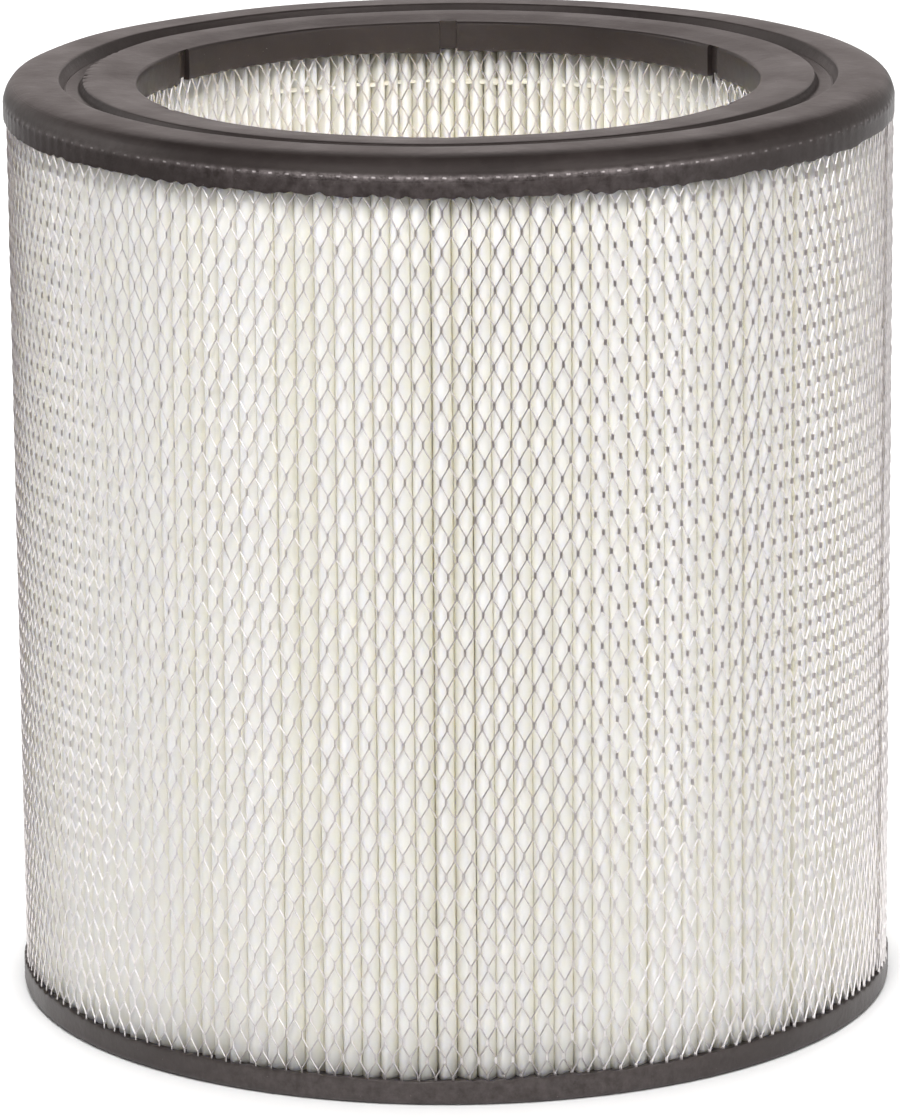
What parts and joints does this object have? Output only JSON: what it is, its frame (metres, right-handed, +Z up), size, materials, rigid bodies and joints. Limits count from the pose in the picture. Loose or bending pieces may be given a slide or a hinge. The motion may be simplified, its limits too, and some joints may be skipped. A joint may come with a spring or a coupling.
{
  "type": "pleated filter cartridge",
  "caption": "Cylindrical pleated dust-filter cartridge with moulded end caps, expanded-metal inner and outer liners, an open top with a raised seal land and a closed bottom.",
  "frame": {"origin": "centre of the bottom cap's flat underside, on the cartridge's axis", "axes": "+Z up along the cartridge's axis towards the open end, +Y towards one of the bore lip's notches, +X to the right seen from the front; the outer liner's lapped seam is near +X"},
  "size_m": [0.324, 0.324, 0.3411],
  "materials": {
    "polyurethane": "moulded, semi-gloss",
    "galvanised_steel": "galvanised, bright",
    "filter_media": "matt white pleated sheet",
    "hot_melt": "milky adhesive"
  },
  "bodies": {
    "root": {"top_end_cap": "polyurethane", "bottom_end_cap": "polyurethane", "bottom_closing_disc": "galvanised_steel", "outer_liner": "galvanised_steel", "inner_liner": "galvanised_steel", "pleated_media": "filter_media", "media_end_seam": "hot_melt", "inner_glue_bead_1": "hot_melt", "inner_glue_bead_2": "hot_melt", "inner_glue_bead_3": "hot_melt", "inner_glue_bead_4": "hot_melt", "inner_glue_bead_5": "hot_melt", "inner_glue_bead_6": "hot_melt", "inner_glue_bead_7": "hot_melt"}
  },
  "joints": []
}
